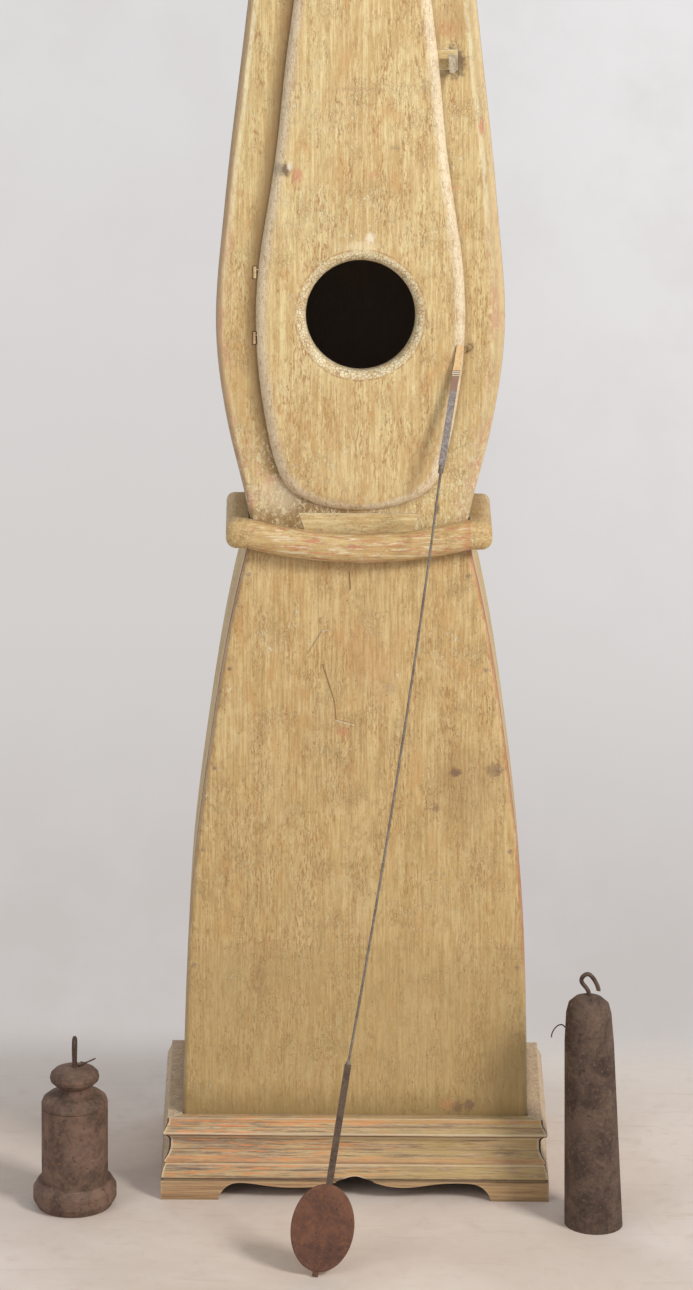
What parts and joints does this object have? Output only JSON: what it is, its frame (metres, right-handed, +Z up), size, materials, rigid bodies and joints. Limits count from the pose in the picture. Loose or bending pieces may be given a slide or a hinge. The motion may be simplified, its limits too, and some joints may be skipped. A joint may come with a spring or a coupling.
{
  "type": "mora clock",
  "caption": "Tall painted pine mora clock with a pear-shaped waist, round hood and window door; its pendulum leans on the front and its two iron weights stand beside it.",
  "frame": {"origin": "centre of the back rail's bottom face, on the floor", "axes": "+Z up, -Y the clock's front, +X to the right of someone facing the dial"},
  "size_m": [0.7274, 0.5101, 2.121],
  "materials": {
    "case_paint": "worn straw paint over pine",
    "belt_paint": "worn straw paint over pine",
    "hood_paint": "worn straw paint over pine",
    "plinth_wood": "grey-brown weathered wood with paint remains",
    "patch_wood": "plain wood let in as a repair",
    "raw_wood": "bare aged pine",
    "fitting_iron": "dark forged iron",
    "catch_iron": "dull grey metal",
    "bezel_paint": "worn paint",
    "clear_glass": "clear old glass",
    "brass": "aged brass",
    "barrel_brass": "aged brass",
    "dial_paint": "aged off-white paint",
    "hand_iron": "blackened",
    "forged_iron": "dark forged iron",
    "bell_metal": "bell bronze",
    "bob_iron": "rust brown",
    "rod_iron": "rust brown",
    "strip_steel": "grey-brown tarnished steel",
    "weight_iron": "dark rusted iron",
    "hook_iron": "dark rusted iron"
  },
  "bodies": {
    "case": {"lower_front_board": "case_paint", "lower_side_left": "case_paint", "lower_side_right": "case_paint", "waist_front_frame": "case_paint", "waist_side_left": "case_paint", "waist_side_right": "case_paint", "belt_front": "belt_paint", "belt_side_left": "belt_paint", "belt_side_right": "belt_paint", "neck_moulding_front": "hood_paint", "neck_moulding_sides": "hood_paint", "hood_base": "hood_paint", "hood_front": "hood_paint", "hood_rim": "hood_paint", "plinth_front": "plinth_wood", "plinth_side_left": "plinth_wood", "plinth_side_right": "plinth_wood", "let_in_pieces": "patch_wood", "plinth_back_rail": "raw_wood", "bottom_board": "raw_wood", "inner_battens": "raw_wood", "back_board": "raw_wood", "hood_back": "raw_wood", "seat_board": "raw_wood", "nails": "fitting_iron", "door_hinge_frame_eyes": "fitting_iron", "bezel_hinge": "fitting_iron", "movement_front_plate": "brass", "movement_back_plate": "brass", "movement_pillars": "brass", "suspension_cock": "brass", "dial_plate": "dial_paint", "bell_stand": "forged_iron", "bell": "bell_metal"},
    "waist_door": {"waist_door": "case_paint", "door_hinge_door_eyes": "fitting_iron"},
    "turn_catch": {"door_catch": "catch_iron"},
    "bezel_door": {"bezel_ring": "bezel_paint", "bezel_glass": "clear_glass", "bezel_knob": "brass"},
    "escape_wheel": {"escape_wheel": "brass"},
    "third_wheel": {"third_wheel": "brass"},
    "centre_wheel": {"centre_wheel": "brass"},
    "going_barrel": {"going_barrel": "barrel_brass"},
    "minute_hand": {"minute_hand": "hand_iron"},
    "minute_wheel": {"minute_wheel": "brass"},
    "hour_hand": {"hour_hand": "hand_iron"},
    "anchor": {"anchor": "forged_iron"},
    "strike_barrel": {"strike_barrel": "barrel_brass"},
    "hammer": {"hammer": "forged_iron"},
    "pendulum": {"pendulum_bob": "bob_iron", "pendulum_bar": "rod_iron", "pendulum_rod": "rod_iron", "pendulum_strip": "strip_steel"},
    "left_weight": {"left_weight": "weight_iron", "left_weight_hook": "hook_iron", "left_weight_wire": "hook_iron"},
    "right_weight": {"right_weight": "weight_iron", "right_weight_hook": "hook_iron", "right_weight_wire": "hook_iron"}
  },
  "joints": [
    {"name": "door_swing", "type": "hinge", "parent": "case", "child": "waist_door", "pos_m": [-0.12935, -0.258, 1.1175], "axis": [0, 0, -1], "range_deg": [0, 119]},
    {"name": "catch_turn", "type": "hinge", "parent": "case", "child": "turn_catch", "pos_m": [0.1096, -0.258, 1.4185], "axis": [0, 1, 0], "range_deg": [0, 90]},
    {"name": "bezel_swing", "type": "hinge", "parent": "case", "child": "bezel_door", "pos_m": [0.183, -0.2758, 1.906], "axis": [0, 0, 1], "range_deg": [0, 110]},
    {"name": "escape_spin", "type": "hinge", "parent": "case", "child": "escape_wheel", "pos_m": [0, -0.19, 1.962], "axis": [0, 1, 0], "continuous": true},
    {"name": "third_spin", "type": "hinge", "parent": "case", "child": "third_wheel", "pos_m": [0, -0.19, 1.9348], "axis": [0, 1, 0], "continuous": true},
    {"name": "centre_spin", "type": "hinge", "parent": "case", "child": "centre_wheel", "pos_m": [0, -0.19, 1.906], "axis": [0, 1, 0], "continuous": true},
    {"name": "going_spin", "type": "hinge", "parent": "case", "child": "going_barrel", "pos_m": [0.03983, -0.19, 1.87258], "axis": [0, 1, 0], "continuous": true},
    {"name": "minute_spin", "type": "hinge", "parent": "case", "child": "minute_hand", "pos_m": [0, -0.19, 1.906], "axis": [0, 1, 0], "continuous": true},
    {"name": "minute_wheel_spin", "type": "hinge", "parent": "case", "child": "minute_wheel", "pos_m": [0, -0.19, 1.886], "axis": [0, 1, 0], "continuous": true},
    {"name": "hour_spin", "type": "hinge", "parent": "case", "child": "hour_hand", "pos_m": [0, -0.19, 1.906], "axis": [0, 1, 0], "continuous": true},
    {"name": "strike_spin", "type": "hinge", "parent": "case", "child": "strike_barrel", "pos_m": [-0.03983, -0.19, 1.87258], "axis": [0, 1, 0], "continuous": true},
    {"name": "anchor_rock", "type": "hinge", "parent": "case", "child": "anchor", "pos_m": [0, -0.19, 1.989], "axis": [0, 1, 0], "range_deg": [-3, 3]},
    {"name": "hammer_lift", "type": "hinge", "parent": "case", "child": "hammer", "pos_m": [-0.058, -0.19, 1.98], "axis": [0, -1, 0], "range_deg": [0, 10]},
    {"name": "pendulum_lean", "type": "hinge", "parent": "case", "child": "pendulum", "pos_m": [-0.0467, -0.4983, 0.0009], "axis": [0.8093, -0.5874, 0], "range_deg": [0, 14]},
    {"name": "left_weight_lift", "type": "slide", "parent": "case", "child": "left_weight", "axis": [0, 0, 1], "range_m": [0, 0.3]},
    {"name": "right_weight_lift", "type": "slide", "parent": "case", "child": "right_weight", "axis": [0, 0, 1], "range_m": [0, 0.3]}
  ],
  "couplings": [
    {"joint": "third_spin", "follows": "escape_spin", "ratio": -0.13333},
    {"joint": "centre_spin", "follows": "escape_spin", "ratio": 0.016667},
    {"joint": "going_spin", "follows": "escape_spin", "ratio": -0.0013889},
    {"joint": "minute_spin", "follows": "escape_spin", "ratio": 0.016667},
    {"joint": "minute_wheel_spin", "follows": "escape_spin", "ratio": -0.0055556},
    {"joint": "hour_spin", "follows": "escape_spin", "ratio": 0.0013889}
  ]
}
